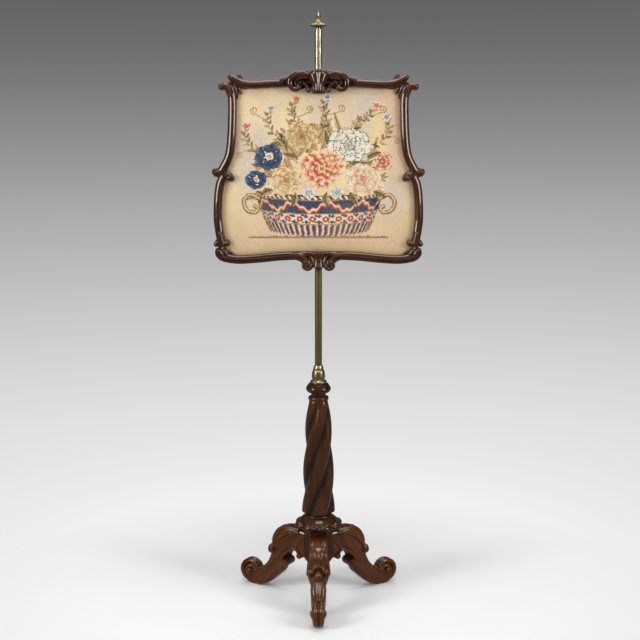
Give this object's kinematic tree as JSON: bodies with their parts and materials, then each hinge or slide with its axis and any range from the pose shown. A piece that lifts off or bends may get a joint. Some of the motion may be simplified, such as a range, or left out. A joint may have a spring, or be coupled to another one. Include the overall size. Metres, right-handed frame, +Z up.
{
  "type": "pole screen",
  "caption": "Carved tripod pole screen: a scroll frame with a needlework panel slides and turns on a brass pole over a spiral column.",
  "frame": {"origin": "on the floor, under the axis of the pole", "axes": "+Z up along the pole, -Y to the front of the screen, +X to the right of someone facing the screen"},
  "size_m": [0.527, 0.3683, 1.5001],
  "materials": {
    "walnut": "french polish",
    "board_wood": "plain",
    "brass": "aged polish",
    "needlework": "tent stitch wool",
    "backing": "plain weave"
  },
  "bodies": {
    "stand": {"leg_front": "walnut", "leg_right": "walnut", "leg_left": "walnut", "hub": "walnut", "dome": "walnut", "column": "walnut", "knop": "walnut", "ferrule": "brass"},
    "pole": {"pole": "brass", "finial": "brass"},
    "screen": {"top_rail": "walnut", "bottom_rail": "walnut", "left_stile": "walnut", "right_stile": "walnut", "corner_dowels": "board_wood", "crest": "walnut", "apron": "walnut", "needlework": "needlework", "mount_board": "board_wood", "back_cloth": "backing", "turn_buttons": "brass", "button_screws": "brass", "upper_bracket": "brass", "lower_bracket": "brass", "bracket_screws": "brass"},
    "clamp_pad": {"clamp_pad": "brass"},
    "thumbscrew": {"thumbscrew": "brass"}
  },
  "joints": [
    {"name": "screen_swivel", "type": "hinge", "parent": "stand", "child": "pole", "pos_m": [0, 0, 0.6], "axis": [0, 0, 1], "continuous": true},
    {"name": "height_slide", "type": "slide", "parent": "pole", "child": "screen", "axis": [0, 0, 1], "range_m": [-0.24, 0.09]},
    {"name": "pad_travel", "type": "slide", "parent": "screen", "child": "clamp_pad", "axis": [0, 1, 0], "range_m": [0, 0.003]},
    {"name": "thumbscrew_turn", "type": "hinge", "parent": "clamp_pad", "child": "thumbscrew", "pos_m": [0, 0.02, 0.903], "axis": [0, 1, 0], "range_deg": [0, 1075]}
  ],
  "couplings": [
    {"joint": "pad_travel", "follows": "thumbscrew_turn", "m_per_rad": 0.00015915}
  ]
}
